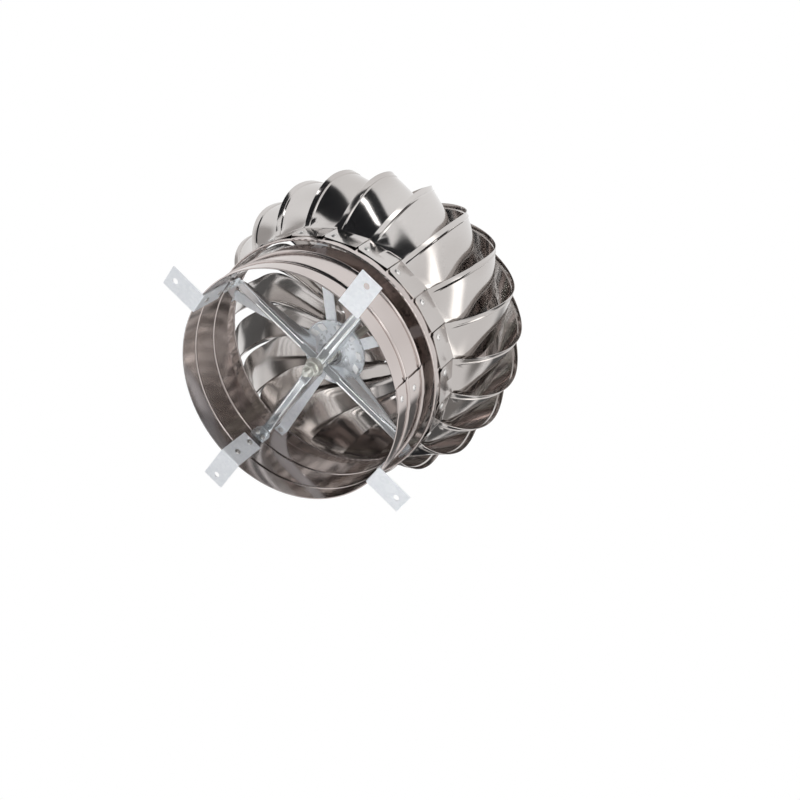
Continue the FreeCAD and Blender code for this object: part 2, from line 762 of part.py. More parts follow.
def cap_rivets():
    """One rivet through the flange for each vane."""
    count = int(size("vane_count"))
    radius = size("cap_radius") - size("cap_flange") / 2
    level = size("cap_level") + size("cap_sheet")
    first = size("vane_phase") + size("lip_lead") - size("lip_sweep")
    return rivet_group("cap_rivets", [
        FreeCAD.Placement(polar(radius, first + (number + 0.5) * 360 / count, level),
                          FreeCAD.Rotation()) for number in range(count)])


def upper_bearing_housing():
    """Turned housing under the cap that hangs the rotor on the upper bearing."""
    body = new_body("upper_bearing_housing")
    shoulder = "upper_bearing + bearing_width"
    wall = "seat_radius + housing_wall"
    revolve(body, [
        ("bearing_outer - 3", shoulder), ("seat_radius", shoulder),
        ("seat_radius", "upper_bearing"), (wall, "upper_bearing"),
        (wall, "cap_top - housing_flange"), ("housing_radius", "cap_top - housing_flange"),
        ("housing_radius", "cap_top"), ("bearing_outer - 3", "cap_top")])
    return body


def housing_screws():
    """Screw heads on the cap that hold the housing."""
    count = int(size("screw_count"))
    radius = (size("housing_radius") + size("seat_radius") + size("housing_wall")) / 2
    level = size("cap_top") + size("cap_sheet")
    return rivet_group("housing_screws", [
        FreeCAD.Placement(polar(radius, 45 + number * 360 / count, level), FreeCAD.Rotation())
        for number in range(count)])


def spider_rivets():
    """A rivet through each strut at the disc and one through its foot at the ring."""
    inner = size("disc_radius") - size("strut_overlap") / 2
    face = math.sqrt(size("ring_inner") ** 2 - (size("strut_width") / 2) ** 2)
    face = face - size("seat_gap") - size("strut_sheet")
    placements = []
    for azimuth in [size(name) for name in STRUTS]:
        placements.append(FreeCAD.Placement(
            polar(inner, azimuth, size("strut_level") + size("strut_sheet")), FreeCAD.Rotation()))
        placements.append(facing_out(
            face, azimuth, size("strut_level") - size("strut_foot") / 2, inward=True))
    return rivet_group("spider_rivets", placements)


# The whole ventilator

def build():
    """Every sub-part of the ventilator."""
    parts = [collar_tube(), collar_seam_rivets()]
    parts += [mounting_tab(number + 1) for number in range(int(size("tab_count")))]
    parts.append(mounting_tab_rivets())
    parts.append(crossbar("crossbar_upper", "bar_level", 0))
    parts.append(crossbar("crossbar_lower", "hub_level", 90))
    parts += [crossbar_rivets(), spindle(), end_nut(), cup_washer(), nut("spindle_lock_nut", "bar_top")]
    parts.append(sleeve("crossbar_spacer", "hub_top", "bar_level"))
    parts.append(sleeve("spacer_sleeve", "lock_nut_top", "lower_bearing"))
    parts.append(sleeve("thrust_collar", "upper_bearing - thrust_height", "upper_bearing"))
    for name in ("lower", "upper"):
        low = name + "_bearing"
        parts.append(inner_race(low + "_inner_race", low))
        parts.append(outer_race(low + "_outer_race", low))
        parts.append(balls(low + "_balls", low))
    parts += [rotor_ring(), spider_disc()]
    parts += [spider_strut(number + 1) for number in range(len(STRUTS))]
    parts.append(spider_rivets())
    blank = vane_blank()
    parts += [vane(number + 1, blank) for number in range(int(size("vane_count")))]
    parts += [vane_foot_rivets(), cap_dome(), cap_clamp_ring(), cap_rivets()]
    parts += [upper_bearing_housing(), housing_screws()]
    return parts


def check(parts):
    """Stop if any object failed or any shape is empty or invalid."""
    for item in doc.Objects:
        if "Invalid" in item.State or "Error" in item.State:
            raise RuntimeError(f"{item.Label} failed: {item.State}")
    for item in parts:
        if item.Shape.isNull() or not item.Shape.isValid() or not item.Shape.Solids:
            raise RuntimeError(f"{item.Label} has no valid solid")


parts = build()
doc.recompute()
check(parts)
os.makedirs("parts", exist_ok=True)
for item in parts:
    item.Shape.exportStep(os.path.join("parts", item.Label + ".step"))
print(len(parts), "nodes")
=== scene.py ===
"""Roof turbine ventilator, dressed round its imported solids. Lengths are in metres."""
import math

import bmesh
import bpy
from mathutils import Matrix, Vector


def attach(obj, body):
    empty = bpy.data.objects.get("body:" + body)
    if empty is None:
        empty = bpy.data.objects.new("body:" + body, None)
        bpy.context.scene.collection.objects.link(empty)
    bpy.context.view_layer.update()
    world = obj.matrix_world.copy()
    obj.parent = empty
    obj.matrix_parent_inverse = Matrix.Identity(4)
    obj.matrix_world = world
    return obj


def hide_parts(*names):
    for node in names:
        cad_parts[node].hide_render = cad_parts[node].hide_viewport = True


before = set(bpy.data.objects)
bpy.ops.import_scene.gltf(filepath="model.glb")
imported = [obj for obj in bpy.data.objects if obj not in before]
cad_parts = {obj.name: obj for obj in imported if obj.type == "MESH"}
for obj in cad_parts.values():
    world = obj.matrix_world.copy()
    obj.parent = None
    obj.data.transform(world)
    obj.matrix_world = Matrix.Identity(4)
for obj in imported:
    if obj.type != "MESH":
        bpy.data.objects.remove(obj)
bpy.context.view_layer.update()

# Collar: a strip of polished stainless sheet rolled into a tube. Two round beads
# stiffen it, its rim is hemmed, and its ends lap over each other and are riveted.

MM = 0.001
collar_radius = 150 * MM
collar_sheet = 1 * MM
collar_rim, collar_top = 2 * MM, 98 * MM
collar_beads = (28 * MM, 67 * MM)
bead_depth, bead_steps = 2.2 * MM, 12
hem_height, hem_rise = 5 * MM, 0.5 * MM
seam_angle, seam_lap, seam_slope, seam_short = -48.7, 12, 3, 0.5
seam_jog, seam_gape = 1.6, 0.5 * MM
collar_steps = 180


class Wire:
    """A shader socket that does arithmetic by adding Math nodes."""

    def __init__(self, tree, socket):
        self.tree = tree
        self.socket = socket

    def maths(self, operation, first, second):
        """Add one Math node and give its result."""
        step = self.tree.nodes.new("ShaderNodeMath")
        step.operation = operation
        feed(self.tree, step.inputs[0], first)
        feed(self.tree, step.inputs[1], second)
        return Wire(self.tree, step.outputs[0])

    def __add__(self, other):
        return self.maths("ADD", self, other)

    def __mul__(self, other):
        return self.maths("MULTIPLY", self, other)

    def __sub__(self, other):
        return self.maths("SUBTRACT", self, other)

    def __rsub__(self, other):
        return self.maths("SUBTRACT", other, self)

    def __abs__(self):
        return self.maths("ABSOLUTE", self, None)

    __radd__ = __add__
    __rmul__ = __mul__


def feed(tree, socket, value):
    """Link a wire to a socket, or set the socket's own value."""
    if isinstance(value, Wire):
        tree.links.new(value.socket, socket)
    elif value is not None:
        socket.default_value = value


class Finish:
    """A material whose nodes are added one call at a time."""

    def __init__(self, name):
        self.material = bpy.data.materials.new(name)
        self.material.use_nodes = True
        self.tree = self.material.node_tree
        self.shader = self.tree.nodes["Principled BSDF"]
        self.place = self.node("ShaderNodeTexCoord", output="Object")

    def node(self, kind, settings=None, inputs=None, output=0):
        """Add a node, set its settings, feed its sockets and give one output."""
        made = self.tree.nodes.new(kind)
        for name, value in (settings or {}).items():
            setattr(made, name, value)
        for name, value in (inputs or {}).items():
            feed(self.tree, made.inputs[name], value)
        return Wire(self.tree, made.outputs[output])

    def stretch(self, x, y, z):
        """The object's own coordinates, scaled along each axis."""
        return self.node("ShaderNodeMapping", None, {"Vector": self.place, "Scale": (x, y, z)})

    def noise(self, where, scale, detail):
        """Soft random patches: the larger the scale, the smaller the patches."""
        return self.node("ShaderNodeTexNoise", None,
                         {"Vector": where, "Scale": scale, "Detail": detail}, "Fac")

    def ramp(self, value, low, high):
        """Spread the part of a value between low and high over 0 to 1."""
        return self.node("ShaderNodeMapRange", {"interpolation_type": "SMOOTHSTEP"},
                         {"Value": value, "From Min": low, "From Max": high})

    def blend(self, share, first, second):
        """Mix two colours."""
        return self.node("ShaderNodeMix", {"data_type": "RGBA"}, {0: share, 6: first, 7: second}, 2)

    def bump(self, height, strength, distance):
        """Turn a height into a normal for the shader."""
        return self.node("ShaderNodeBump", None,
                         {"Height": height, "Strength": strength, "Distance": distance})

    def surface(self, **sockets):
        """Feed the shader's sockets, named with an underscore for each space."""
        for name, value in sockets.items():
            feed(self.tree, self.shader.inputs[name.replace("_", " ")], value)
        return self.material


def polished_stainless(name, light, dark, along, dullness):
    """Mirror-rolled sheet: faint grain along one direction, broad painted reflection streaks in its
    colour, hand marks and slight waves.
    """
    grain_scale, mark_scale, wave_scale = 60.0, 45.0, 12.0
    reflection_streak_scales, wave_height = (9, 9, 3), 2 * MM
    finish = Finish(name)
    grain = finish.noise(finish.stretch(*along), grain_scale, 4.0)
    # Painted reflection: broad dark streaks in the colour stand in for surroundings mirrored in the
    # polished sheet.
    reflection_streaks = finish.ramp(finish.noise(finish.stretch(*reflection_streak_scales), 1.0, 2.0), 0.38, 0.66)
    marks = finish.ramp(finish.noise(finish.place, mark_scale, 5.0), 0.55, 0.8)
    waves = finish.noise(finish.place, wave_scale, 0.0)
    tone = finish.blend(reflection_streaks * 0.45 + grain * 0.15, light, dark)
    return finish.surface(
        Base_Color=tone, Metallic=1.0, Roughness=dullness + grain * 0.03 + marks * 0.04,
        Normal=finish.bump(waves, 0.3, wave_height))


def polar(radius, degrees, height=0.0):
    """A point from its radius, azimuth and height."""
    angle = math.radians(degrees)
    return Vector((radius * math.cos(angle), radius * math.sin(angle), height))


def add_piece(name, mesh, material, crease=35):
    """Link a mesh as a piece, smooth but for edges sharper than the crease angle."""
    shape = bmesh.new()
    shape.from_mesh(mesh)
    bmesh.ops.recalc_face_normals(shape, faces=shape.faces)
    shape.to_mesh(mesh)
    shape.free()
    mesh.shade_smooth()
    mesh.set_sharp_from_angle(angle=math.radians(crease))
    mesh.materials.append(material)
    piece = bpy.data.objects.new(name, mesh)
    bpy.context.scene.collection.objects.link(piece)
    return piece


def skin(name, loops, material, ring=False, crease=35):
    """A piece whose surface joins one closed loop of points to the next."""
    return skins(name, [loops], material, ring, crease)


def skins(name, shells, material, ring=False, crease=35):
    """A piece of several shells, each of them a row of closed loops."""
    points, faces = [], []
    for loops in shells:
        first, count = len(points), len(loops[0])
        last = len(loops) if ring else len(loops) - 1
        for row in range(last):
            near, far = first + row * count, first + (row + 1) % len(loops) * count
            for step in range(count):
                after = (step + 1) % count
                faces.append((near + step, near + after, far + after, far + step))
        points += [point for loop in loops for point in loop]
        if not ring:
            faces.append(tuple(range(first, first + count)))
            faces.append(tuple(range(len(points) - count, len(points))))
    mesh = bpy.data.meshes.new(name)
    mesh.from_pydata(points, [], faces)
    return add_piece(name, mesh, material, crease)


def bead_at(height):
    """How far the sheet is pressed out at a height."""
    reach = max(bead_depth ** 2 - (height - bead) ** 2 for bead in collar_beads)
    return math.sqrt(max(reach, 0))


def bead_levels(bead):
    """Heights across a bead, evenly spaced round its half circle."""
    return [bead - bead_depth * math.cos(math.radians(180 / bead_steps * step))
            for step in range(bead_steps + 1)]


def collar_loop(turn):
    """Section of the collar's sheet at a turn in degrees past the outer end of its seam."""
    if turn < seam_lap:
        lift = collar_sheet + seam_gape * (1 - turn / seam_lap)
    else:
        lift = collar_sheet * max(0, 1 - (turn - seam_lap) / seam_slope)
    levels = [collar_rim, collar_rim + 0.6 * hem_rise]
    levels += [collar_rim + hem_height, collar_rim + 1.1 * hem_height]
    for bead in collar_beads:
        levels += bead_levels(bead)
    levels.append(collar_top)
    outside, inside = [], []
    for level in levels:
        hem = hem_rise if 0 < level - collar_rim <= hem_height else 0
        jog = seam_jog * (bead_at(level) / bead_depth) if turn == 0 else 0
        radius = collar_radius + bead_at(level) + lift
        outside.append(polar(radius + hem, seam_angle + turn - jog, level))
        inside.append(polar(radius - collar_sheet, seam_angle + turn - jog, level))
    return outside + inside[::-1]


turns = [0, seam_lap / 2, seam_lap]
turns += [seam_lap + seam_slope + step * (360 - seam_lap) / collar_steps
          for step in range(collar_steps)]
turns += [360, 360 + seam_lap / 2, 360 + seam_lap - seam_short]
# The dark colour is that of the painted reflection streaks.
stainless = polished_stainless(
    "polished_stainless", (0.62, 0.56, 0.54, 1), (0.44, 0.39, 0.37, 1), (1, 1, 12), 0.1)
collar = skin("collar_sheet", [collar_loop(turn) for turn in turns], stainless)
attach(collar, "base")
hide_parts("collar_tube")

# Seam rivets: aluminium blind rivets that close the lap. Each has a low domed head
# with the dimple that the pulled stem leaves.

rivet_radius, rivet_rise, rivet_sides = 4 * MM, 1.5 * MM, 20
seam_rivet_levels = (11 * MM, 44 * MM)


def bright_aluminium():
    """Drawn aluminium, slightly dull, with fine pits."""
    pit_scale, pit_depth = 900.0, 0.1 * MM
    finish = Finish("bright_rivet")
    pits = finish.noise(finish.place, pit_scale, 2.0)
    return finish.surface(
        Base_Color=finish.blend(pits, (0.86, 0.85, 0.84, 1), (0.62, 0.61, 0.60, 1)), Metallic=1.0,
        Roughness=0.22 + pits * 0.15, Normal=finish.bump(pits, 0.2, pit_depth))


rivet_finish = bright_aluminium()
rivet_profile = [
    (1, 0), (1, 0.18), (0.93, 0.42), (0.78, 0.72), (0.56, 0.93), (0.36, 1), (0.28, 0.95),
    (0.26, 0.45)]


def rivet_group(node, body, spots):
    """Domed heads at spots, each a point on the sheet and the direction it faces."""
    points, faces = [], []
    for spot, facing in spots:
        turn = Vector((0, 0, 1)).rotation_difference(facing).to_matrix()
        first = len(points)
        for wide, high in rivet_profile:
            for side in range(rivet_sides):
                around = side * 360 / rivet_sides
                points.append(spot + turn @ polar(wide * rivet_radius, around, high * rivet_rise))
        for row in range(len(rivet_profile) - 1):
            near, far = first + row * rivet_sides, first + (row + 1) * rivet_sides
            for side in range(rivet_sides):
                after = (side + 1) % rivet_sides
                faces.append((near + side, near + after, far + after, far + side))
        faces.append(tuple(range(first, first + rivet_sides)))
        faces.append(tuple(range(len(points) - rivet_sides, len(points))))
    mesh = bpy.data.meshes.new(node + "_heads")
    mesh.from_pydata(points, [], faces)
    piece = add_piece(node + "_heads", mesh, rivet_finish)
    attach(piece, body)
    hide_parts(node)


lap_radius = collar_radius + collar_sheet
rivet_group("collar_seam_rivets", "base", [
    (polar(lap_radius, seam_angle + seam_lap / 2, level), polar(1, seam_angle + seam_lap / 2))
    for level in seam_rivet_levels])

# Mounting tabs: strips of galvanised steel bent to an L and drilled. Each one's leg
# is riveted inside the collar.

tab_half, tab_depth, tab_edge = 15 * MM, 2.1 * MM, 0.35 * MM
tab_face = math.sqrt((collar_radius - collar_sheet) ** 2 - tab_half ** 2) - tab_depth
tab_rivet_levels = (17 * MM, 45 * MM)
weld_reach, edge_angle = 0.01 * MM, 40
crystal_scale, cloud_scale, grit_scale, zinc_depth = 260.0, 35.0, 700.0, 0.2 * MM


def galvanised(name, light, dark, dullness, metal, spangle):
    """Zinc-dipped steel: pale crystals of zinc, dull between them."""
    finish = Finish(name)
    crystals = finish.node(
        "ShaderNodeTexVoronoi", None,
        {"Vector": finish.place, "Scale": crystal_scale, "Randomness": 1.0}, "Color")
    facets = finish.node("ShaderNodeSeparateColor", None, {"Color": crystals}, "Red") * spangle
    cloud = finish.noise(finish.place, cloud_scale, 4.0)
    grit = finish.noise(finish.place, grit_scale, 2.0)
    return finish.surface(
        Base_Color=finish.blend(facets * 0.35 + cloud * 0.5, light, dark), Metallic=metal,
        Roughness=dullness + facets * 0.12 + cloud * 0.08,
        Normal=finish.bump(facets * 0.25 + grit * 0.3, 0.2, zinc_depth))


def dress(nodes, material, edge=0.0):
    """Give solids a finish and, where an edge size is given, softly broken edges."""
    for name in nodes:
        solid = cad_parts[name]
        solid.data.materials.clear()
        solid.data.materials.append(material)
        if edge:
            weld = solid.modifiers.new("weld", "WELD")
            weld.merge_threshold = weld_reach
            bevel = solid.modifiers.new("broken_edges", "BEVEL")
            bevel.width = edge
            bevel.segments = 2
            bevel.limit_method = "ANGLE"
            bevel.angle_limit = math.radians(edge_angle)


zinc_steel = galvanised(
    "galvanised_steel", (0.92, 0.94, 0.97, 1), (0.74, 0.77, 0.81, 1), 0.34, 0.3, 1.0)
dress([f"mounting_tab_{number}" for number in range(1, 5)], zinc_steel, tab_edge)
rivet_group("mounting_tab_rivets", "base", [
    (polar(tab_face, 90 * quarter, level), polar(-1, 90 * quarter))
    for quarter in range(4) for level in tab_rivet_levels])

# Crossbars: two pressed channels of galvanised steel, one passing under the other.
# Their feet are riveted to the collar's wall.

bar_sheet, bar_depth, bar_sink = 1.5 * MM, 1.6 * MM, 0.05 * MM
bar_level, bar_dip = 84 * MM, 14 * MM
bar_half, bar_bend = 7 * MM, 2.2 * MM
inner_bend, bend_steps = bar_bend - bar_sheet, (15, 35, 55, 75, 90)

foot_half, foot_drop = 11 * MM, 24 * MM
foot_corner, foot_neck = 1.5 * MM, 0.6 * MM
neck_level, shoulder_level = bar_level - 4 * MM, bar_level - 5.5 * MM
bar_face = math.sqrt((collar_radius - collar_sheet) ** 2 - foot_half ** 2) - bar_depth
bar_end = bar_face - bar_sink + bar_sheet
bar_rivet_level, bar_rivet_aside = 70.5 * MM, 5 * MM

flat_reach, flange_start, hub_reach = 13 * MM, 26 * MM, 30 * MM
flange_deep, flange_end, least_flange = 20 * MM, 4.5 * MM, 0.02 * MM
web_stop, web_out, web_flange, foot_start = 9 * MM, 2 * MM, 0.3 * MM, 2 * MM
web_shares = ((0.02, 0), (0.06, 1), (0.25, 1), (0.5, 1), (0.72, 1), (0.76, 0), (0.97, 0))

ridge_near, ridge_drop = 2.9 * MM, 1 * MM
ridge_section = ((0, 0), (0.6, 0.75), (1.1, 1), (1.6, 0.75))
# Painted highlight along the crossbars' two pressed ridges: its soft edge, its width, and where it
# starts and fades out along the bar.
ridge_highlight_edge, ridge_highlight_width, ridge_highlight_start = 0.5 * MM, 1.4 * MM, 4 * MM
ridge_highlight_fade_start, ridge_highlight_end = 108 * MM, 114 * MM


def channel(web, top, ridge=0.0):
    """Half the channel's section as heights over distance aside: outside, then inside."""
    drop = ridge * ridge_drop
    outside = [(ridge_near + run * MM, web - share * drop) for run, share in ridge_section]
    inside = [(aside, height + bar_sheet) for aside, height in outside]
    corner = bar_half - bar_bend
    for degrees in bend_steps:
        across, down = math.sin(math.radians(degrees)), math.cos(math.radians(degrees))
        outside.append((corner + bar_bend * across, min(web + bar_bend * (1 - down), top)))
        inside.append((corner + inner_bend * across, min(web + bar_bend - inner_bend * down, top)))
    return outside + [(bar_half, top)], inside + [(bar_half - bar_sheet, top)]


def bar_section(reach, web, top, ridge=0.0):
    """Closed loop round the channel at a distance from the hub."""
    outside, inside = channel(web, top, ridge)
    loop = [Vector((reach, -aside, height)) for aside, height in outside[::-1]]
    loop += [Vector((reach, aside, height)) for aside, height in outside]
    loop += [Vector((reach, aside, height)) for aside, height in inside[::-1]]
    return loop + [Vector((reach, -aside, height)) for aside, height in inside]


def foot_section(reach, level, tilt, half):
    """Closed loop round the foot at a reach and level, turned down by the tilt."""
    count = len(channel(0, 0)[0])
    normal = Vector((math.sin(math.radians(tilt)), 0, math.cos(math.radians(tilt))))
    base = Vector((reach, 0, level))
    spread = [half * (step + 0.5) / (count - 0.5) for step in range(count)]
    near = [base + Vector((0, -aside, 0)) for aside in spread[::-1]]
    near += [base + Vector((0, aside, 0)) for aside in spread]
    far = [point + normal * bar_sheet for point in near]
    return near + far[::-1]


def bar_half_loops(dip):
    """Loops from the hub's middle to the bottom of the foot."""
    hub, high = bar_level - dip, bar_level + flange_deep
    lowest = hub + bar_sheet + least_flange
    loops = [bar_section(0, hub, lowest), bar_section(flat_reach, hub, lowest),
             bar_section(flange_start, hub, high), bar_section(hub_reach, hub, high)]
    web_end = bar_end - bar_sheet - web_stop
    for share, ridge in web_shares:
        reach = hub_reach + (web_end - hub_reach) * share
        web = hub + dip * (reach - hub_reach) / (web_end - hub_reach)
        loops.append(bar_section(reach, web, high + (flange_end - flange_deep) * share, ridge))
    loops.append(bar_section(web_end + web_out, bar_level, bar_level + bar_bend + web_flange))
    pivot = bar_end - bar_sheet - inner_bend
    loops.append(foot_section(pivot - foot_start, bar_level, 0, bar_half))
    for tilt in (0, 30, 60, 90):
        angle = math.radians(tilt)
        reach = pivot + inner_bend * math.sin(angle)
        level = bar_level - inner_bend + inner_bend * math.cos(angle)
        loops.append(foot_section(reach, level, tilt, bar_half + tilt / 90 * foot_corner))
    low = bar_level + bar_sheet - foot_drop
    for level, half in ((neck_level, foot_half - foot_neck), (shoulder_level, foot_half),
                        (low + foot_corner, foot_half), (low, foot_half - foot_corner)):
        loops.append(foot_section(bar_end - bar_sheet, level, 90, half))
    return loops


def painted_ridge_highlight_bar():
    """Galvanised strip with painted highlights: near-white, less metallic colour along the two
    pressed ridges.
    """
    finish = Finish("galvanised_painted_ridge_highlights")
    aside = abs(finish.node("ShaderNodeSeparateXYZ", None, {"Vector": finish.place}, "Y"))
    along = abs(finish.node("ShaderNodeSeparateXYZ", None, {"Vector": finish.place}, "X"))
    # Painted highlight: the colour turns near white and less metallic along each ridge, standing in
    # for light caught on the ridges.
    ridge_highlight_far = ridge_near + ridge_highlight_width
    ridge = finish.ramp(aside, ridge_near - ridge_highlight_edge, ridge_near)
    ridge = ridge * (1 - finish.ramp(aside, ridge_highlight_far, ridge_highlight_far + ridge_highlight_edge))
    ridge = ridge * finish.ramp(along, hub_reach, hub_reach + ridge_highlight_start)
    ridge = ridge * (1 - finish.ramp(along, ridge_highlight_fade_start, ridge_highlight_end))
    cloud = finish.noise(finish.place, cloud_scale, 4.0)
    grit = finish.noise(finish.place, grit_scale, 2.0)
    tone = finish.blend(cloud * 0.6, (0.86, 0.89, 0.91, 1), (0.64, 0.67, 0.70, 1))
    tone = finish.blend(ridge, tone, (0.98, 0.99, 1, 1))
    return finish.surface(Base_Color=tone, Metallic=0.9 - ridge * 0.8,
                          Roughness=0.16 + cloud * 0.08 + ridge * 0.15,
                          Normal=finish.bump(grit, 0.08, zinc_depth))


def crossbar(name, node, dip, turn):
    """A pressed channel from wall to wall, turned about the axis."""
    half = bar_half_loops(dip)
    flip = Matrix.Diagonal((-1, 1, 1))
    mirrored = [[flip @ point for point in loop] for loop in half[:0:-1]]
    bar = skin(name, mirrored + half, bar_steel, crease=32)
    bar.rotation_euler.z = math.radians(turn)
    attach(bar, "base")
    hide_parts(node)


bar_steel = painted_ridge_highlight_bar()
crossbar("crossbar_upper_channel", "crossbar_upper", 0, 0)
crossbar("crossbar_lower_channel", "crossbar_lower", bar_dip, 90)
rivet_group("crossbar_rivets", "base", [
    (polar(bar_face, 90 * quarter, bar_rivet_level) + polar(aside, 90 * quarter + 90),
     polar(-1, 90 * quarter))
    for quarter in range(4) for aside in (-bar_rivet_aside, bar_rivet_aside)])

# Spindle and its hardware: a zinc-plated rod with an end nut over a dished washer, a
# spacer between the crossbars, a lock nut, and the sleeves that carry the bearings.

spindle_radius, rod_chamfer = 5 * MM, 1 * MM
rod_low, rod_high = 46 * MM, 365 * MM
thread_end, thread_pitch, thread_cut = 100 * MM, 1.5 * MM, 0.7 * MM
thread_steps, thread_runout = 6, 0.5 * MM
nut_flats, nut_height = 16 * MM, 8 * MM
nut_bore, nut_sink = spindle_radius + 0.1 * MM, 0.6 * MM
nut_chamfer, nut_slope = 0.4 * MM, 0.55
nut_levels = (("spindle_end_nut", 55 * MM), ("spindle_lock_nut", 85.5 * MM))


def zinc_plated():
    """Bright zinc plate with a faint yellow tint and rubbed flats."""
    rub_scale, fine_scale, fine_depth = 120.0, 900.0, 0.1 * MM
    finish = Finish("zinc_plated_steel")
    rub = finish.noise(finish.place, rub_scale, 4.0)
    fine = finish.noise(finish.stretch(1, 1, 0.1), fine_scale, 2.0)
    return finish.surface(
        Base_Color=finish.blend(rub, (0.93, 0.94, 0.89, 1), (0.74, 0.75, 0.69, 1)), Metallic=0.7,
        Roughness=0.16 + rub * 0.12 + fine * 0.05, Normal=finish.bump(fine, 0.12, fine_depth))


def thread_depth(degrees, height):
    """How far the thread is cut in at a height and a turn round the rod."""
    if height > thread_end:
        return 0
    turn = (height / thread_pitch - degrees / 360) % 1
    return thread_cut * (1 - abs(2 * turn - 1))


def rod_loops():
    """Circles up the rod, close together where it is threaded."""
    loops = []
    count = int((thread_end - rod_low) * thread_steps / thread_pitch)
    levels = [rod_low + step * thread_pitch / thread_steps for step in range(count)]
    for level in levels + [thread_end + thread_runout, rod_high - rod_chamfer, rod_high]:
        ends = min(level - rod_low, rod_high - level)
        radius = spindle_radius - max(0, rod_chamfer - ends)
        loops.append([polar(radius - min(thread_depth(degrees, level), radius / 4), degrees, level)
                      for degrees in range(0, 360, 15)])
    return loops


def hexagon_nut(node, low):
    """A nut whose corners are chamfered both ends and whose bore is countersunk."""
    loops = []
    sunk, face = nut_bore + nut_sink, nut_flats / 2 - nut_chamfer
    for degrees in range(0, 360, 5):
        across = nut_flats / 2 / math.cos(math.radians((degrees + 30) % 60 - 30))
        cut = (across - face) * nut_slope
        loops.append([polar(radius, degrees, low + height) for radius, height in (
            (nut_bore, nut_sink), (sunk, 0), (face, 0), (across, cut),
            (across, nut_height - cut), (face, nut_height),
            (sunk, nut_height), (nut_bore, nut_height - nut_sink))])
    nut = skin(node + "_chamfered", loops, plated, ring=True, crease=25)
    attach(nut, "base")
    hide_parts(node)


plated = zinc_plated()
rod = skin("spindle_threaded", rod_loops(), plated, crease=40)
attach(rod, "base")
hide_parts("spindle")
for nut_name, nut_level in nut_levels:
    hexagon_nut(nut_name, nut_level)
turned_edge = 0.25 * MM
dress(["cup_washer", "crossbar_spacer", "spacer_sleeve", "thrust_collar"], plated, turned_edge)

# Ball bearings: ground steel races with eight balls each. The ball sets turn with the
# rotor at their own slower speed.


def ground_steel():
    """Hardened steel, ground and lightly oiled."""
    grind_scales, grind_scale = (1, 1, 30), 80.0
    finish = Finish("bearing_steel")
    rings = finish.noise(finish.stretch(*grind_scales), grind_scale, 2.0)
    return finish.surface(
        Base_Color=finish.blend(rings, (0.78, 0.78, 0.79, 1), (0.58, 0.58, 0.60, 1)), Metallic=1.0,
        Roughness=0.10 + rings * 0.10)


bearing_steel = ground_steel()
for level in ("lower", "upper"):
    dress([f"{level}_bearing_{part}" for part in ("inner_race", "outer_race", "balls")],
          bearing_steel)

# Collar's top bead: a thin round bead rolled along the collar's upper edge, under the
# rotor's ring. The knurled rollers leave shallow grooves in it all the way round.

collar_bead = 0.65 * MM
knurls, knurl_steps = 116, 10
knurl_grooves = [depth * MM for depth in (0.2, 0.18, 0.13, 0.07, 0.02, 0, 0.02, 0.07, 0.13, 0.18)]


def bead_point(radius, turn):
    """A point on a bead's section, in the plane through the rotor's axis."""
    angle = math.radians(turn)
    return Vector((radius * math.cos(angle), 0, radius * math.sin(angle)))


def knurl_spin(step):
    """The turn about the rotor's axis that brings a section to its step."""
    return Matrix.Rotation(2 * math.pi * step / (knurls * knurl_steps), 3, "Z")


def top_bead_loop(step):
    """Section of the bead, which is thinner in each groove."""
    swell, spin = collar_bead - knurl_grooves[step % knurl_steps] / 2, knurl_spin(step)
    middle = polar(collar_radius - collar_sheet / 2, 0, collar_top - collar_bead)
    return [spin @ (middle + bead_point(swell, turn)) for turn in range(0, 360, 30)]


top_bead = skin("collar_top_bead", [top_bead_loop(step) for step in range(knurls * knurl_steps)],
                stainless, ring=True)
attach(top_bead, "base")

# Rotor ring: a stainless band round the collar's top, free of it all round. Both its
# edges are rolled, and the rolls carry the same shallow knurling.

ring_inner, ring_outer = 160 * MM, 161 * MM
ring_low, ring_high = 80 * MM, 130 * MM
curl, curl_start, curl_stop = 1.5 * MM, 1.9, 2.2


def ring_loop(step):
    """Section of the ring, whose rolled edges swell and shrink from groove to groove."""
    swell, spin = curl - knurl_grooves[step % knurl_steps], knurl_spin(step)
    low_curl = polar((ring_inner + ring_outer) / 2, 0, ring_low + curl)
    high_curl = polar(ring_outer - curl, 0, ring_high - curl)
    loop = [polar(ring_inner, 0, ring_low + curl_start * curl)]
    loop += [low_curl + bead_point(swell, turn) for turn in range(120, 421, 25)]
    loop.append(polar(ring_outer, 0, ring_low + curl_start * curl))
    loop.append(polar(ring_outer, 0, ring_high - curl_start * curl))
    loop += [high_curl + bead_point(swell, turn) for turn in range(0, 281, 28)]
    loop.append(polar(ring_inner, 0, ring_high - curl_stop * curl))
    return [spin @ point for point in loop]


ring = skin("rotor_ring_band", [ring_loop(step) for step in range(knurls * knurl_steps)],
            stainless, ring=True)
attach(ring, "rotor")
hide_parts("rotor_ring")

# Spider: a pressed disc round the lower bearing and five flat struts out to the ring,
# all of galvanised steel and riveted together.

strut_azimuths = (12.5, 86, 162, 227, 299.5)
strut_sheet, strut_level, strut_edge = 1.5 * MM, 123.5 * MM, 0.4 * MM
strut_half, strut_depth = 7.5 * MM, 1.6 * MM
strut_rivet_radius, strut_foot_level = 36 * MM, 117.5 * MM
strut_face = math.sqrt(ring_inner ** 2 - strut_half ** 2) - strut_depth

